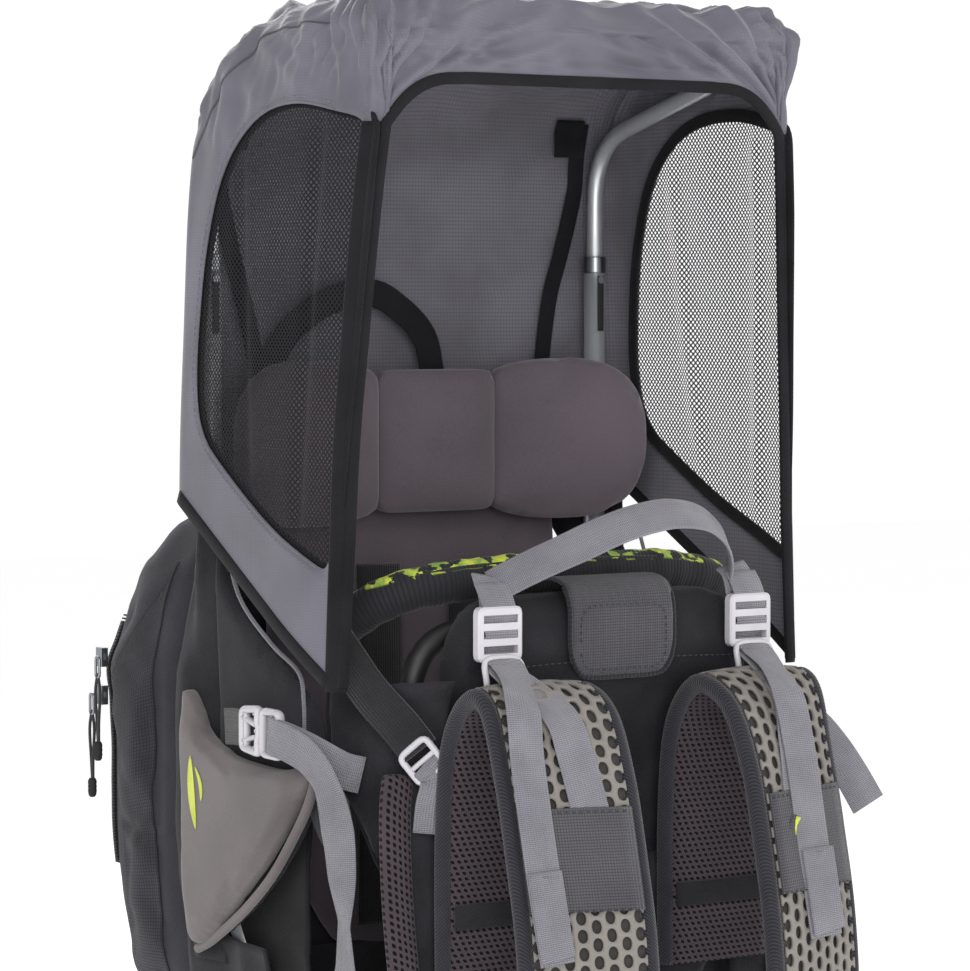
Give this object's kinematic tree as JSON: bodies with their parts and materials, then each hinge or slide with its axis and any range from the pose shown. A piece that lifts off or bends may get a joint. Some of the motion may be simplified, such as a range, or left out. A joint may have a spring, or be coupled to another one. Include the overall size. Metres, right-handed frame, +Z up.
{
  "type": "baby carrier backpack",
  "caption": "Framed back carrier for a small child, with a sunshade canopy with mesh side windows, padded shoulder harness, rear bag and folding kickstand.",
  "frame": {"origin": "on the floor under the middle of the front foot", "axes": "+Z up, -Y towards the parent's back (the harness side), +Y towards the rear bag, +X to the right seen from the harness side"},
  "size_m": [0.398, 0.6689, 1.068],
  "materials": {
    "aluminium_tube": "satin",
    "steel_pin": "satin",
    "black_plastic": "satin",
    "grey_plastic": "satin",
    "foot_rubber": "matte",
    "black_cloth": "matte",
    "grid_cloth": "matte",
    "canopy_cloth": "satin",
    "window_mesh": "matte",
    "charcoal_cloth": "matte",
    "taupe_cloth": "matte",
    "strap_foam": "matte",
    "air_mesh": "matte",
    "grey_webbing": "matte",
    "print_cloth": "matte"
  },
  "bodies": {
    "pack": {"front_foot": "foot_rubber", "back_frame": "aluminium_tube", "cross_bar": "aluminium_tube", "hub_L": "black_plastic", "hub_R": "black_plastic", "pivot_pin_L": "steel_pin", "pivot_pin_R": "steel_pin", "rear_post_L": "aluminium_tube", "rear_post_R": "aluminium_tube", "back_panel": "black_cloth", "back_pad": "air_mesh", "lumbar_pad": "air_mesh", "panel_flap": "grid_cloth", "front_bumper": "print_cloth", "side_wing_L": "black_cloth", "side_wing_R": "black_cloth", "side_pocket_L": "taupe_cloth", "side_pocket_R": "taupe_cloth", "rear_bag": "charcoal_cloth", "lower_bag": "charcoal_cloth", "seat_back": "charcoal_cloth", "headrest": "charcoal_cloth", "harness_strap_L": "grey_webbing", "harness_strap_R": "grey_webbing", "side_buckle_L": "grey_plastic", "side_buckle_R": "grey_plastic"},
    "kickstand": {"kickstand_tube": "aluminium_tube", "knuckle_L": "black_plastic", "knuckle_R": "black_plastic", "kickstand_foot_L": "foot_rubber", "kickstand_foot_R": "foot_rubber"},
    "canopy": {"canopy_hoop": "aluminium_tube", "canopy_fabric": "canopy_cloth", "canopy_mesh_L": "window_mesh", "canopy_mesh_R": "window_mesh"},
    "snap_button_left": {"snap_button_L": "steel_pin"},
    "snap_button_right": {"snap_button_R": "steel_pin"},
    "seat": {"seat_pad": "charcoal_cloth", "harness_buckle": "black_plastic"},
    "buckle_button": {"harness_button": "grey_plastic"},
    "harness": {"yoke": "black_cloth", "shoulder_strap_L": "strap_foam", "shoulder_strap_R": "strap_foam"},
    "sternum": {"sternum_strap_L": "grey_webbing", "sternum_strap_R": "grey_webbing", "sternum_buckle": "black_plastic"},
    "handle": {"haul_handle": "grey_webbing"},
    "hip_belt_left": {"hip_wing_L": "air_mesh", "hip_webbing_L": "grey_webbing"},
    "hip_belt_right": {"hip_wing_R": "air_mesh", "hip_webbing_R": "grey_webbing"},
    "side_clip_left": {"side_clip_L": "grey_plastic"},
    "side_clip_right": {"side_clip_R": "grey_plastic"},
    "lock_left": {"ladder_lock_L": "grey_plastic"},
    "lock_right": {"ladder_lock_R": "grey_plastic"},
    "slider_top": {"zip_slider_top": "steel_pin"},
    "slider_low": {"zip_slider_low": "steel_pin"},
    "pull_top": {"zip_pull_top": "foot_rubber"},
    "pull_low": {"zip_pull_low": "foot_rubber"}
  },
  "joints": [
    {"name": "kickstand_fold", "type": "hinge", "parent": "pack", "child": "kickstand", "pos_m": [0, 0.165, 0.27], "axis": [1, 0, 0], "range_deg": [-56, 0]},
    {"name": "canopy_height", "type": "slide", "parent": "pack", "child": "canopy", "axis": [0, 0, 1], "range_m": [-0.035, 0]},
    {"name": "snap_button_left_press", "type": "slide", "parent": "canopy", "child": "snap_button_left", "axis": [0, 1, 0], "range_m": [0, 0.0025]},
    {"name": "snap_button_right_press", "type": "slide", "parent": "canopy", "child": "snap_button_right", "axis": [0, 1, 0], "range_m": [0, 0.0025]},
    {"name": "seat_height", "type": "slide", "parent": "pack", "child": "seat", "axis": [0, 0, 1], "range_m": [-0.035, 0.035]},
    {"name": "buckle_button_press", "type": "slide", "parent": "seat", "child": "buckle_button", "axis": [0, 0, 1], "range_m": [-0.002, 0]},
    {"name": "back_length", "type": "slide", "parent": "pack", "child": "harness", "axis": [0, 0, 1], "range_m": [-0.06, 0]},
    {"name": "sternum_height", "type": "slide", "parent": "harness", "child": "sternum", "axis": [0, 0, 1], "range_m": [-0.02, 0.02]},
    {"name": "handle_flop", "type": "hinge", "parent": "pack", "child": "handle", "pos_m": [0, -0.024, 0.692], "axis": [1, 0, 0], "range_deg": [-6, 115]},
    {"name": "hip_belt_left_swing", "type": "hinge", "parent": "pack", "child": "hip_belt_left", "pos_m": [-0.095, -0.05, 0.196], "axis": [0, 0, -1], "range_deg": [0, 45]},
    {"name": "hip_belt_right_swing", "type": "hinge", "parent": "pack", "child": "hip_belt_right", "pos_m": [0.095, -0.05, 0.196], "axis": [0, 0, 1], "range_deg": [0, 45]},
    {"name": "side_clip_left_release", "type": "slide", "parent": "pack", "child": "side_clip_left", "axis": [0, -1, 0], "range_m": [0, 0.015]},
    {"name": "side_clip_right_release", "type": "slide", "parent": "pack", "child": "side_clip_right", "axis": [0, -1, 0], "range_m": [0, 0.015]},
    {"name": "lock_left_tilt", "type": "hinge", "parent": "pack", "child": "lock_left", "pos_m": [-0.1, -0.042, 0.668], "axis": [1, 0, 0], "range_deg": [-30, 0]},
    {"name": "lock_right_tilt", "type": "hinge", "parent": "pack", "child": "lock_right", "pos_m": [0.1, -0.042, 0.668], "axis": [1, 0, 0], "range_deg": [-30, 0]},
    {"name": "zip_top_run", "type": "slide", "parent": "pack", "child": "slider_top", "axis": [0, 0, 1], "range_m": [0, 0.04]},
    {"name": "zip_low_run", "type": "slide", "parent": "pack", "child": "slider_low", "axis": [0, 0, 1], "range_m": [-0.08, 0]},
    {"name": "zip_top_pull_swing", "type": "hinge", "parent": "slider_top", "child": "pull_top", "pos_m": [-0.1835, 0.378, 0.606], "axis": [0, 1, 0], "range_deg": [0, 70]},
    {"name": "zip_low_pull_swing", "type": "hinge", "parent": "slider_low", "child": "pull_low", "pos_m": [-0.1835, 0.388, 0.578], "axis": [0, 1, 0], "range_deg": [0, 70]}
  ]
}
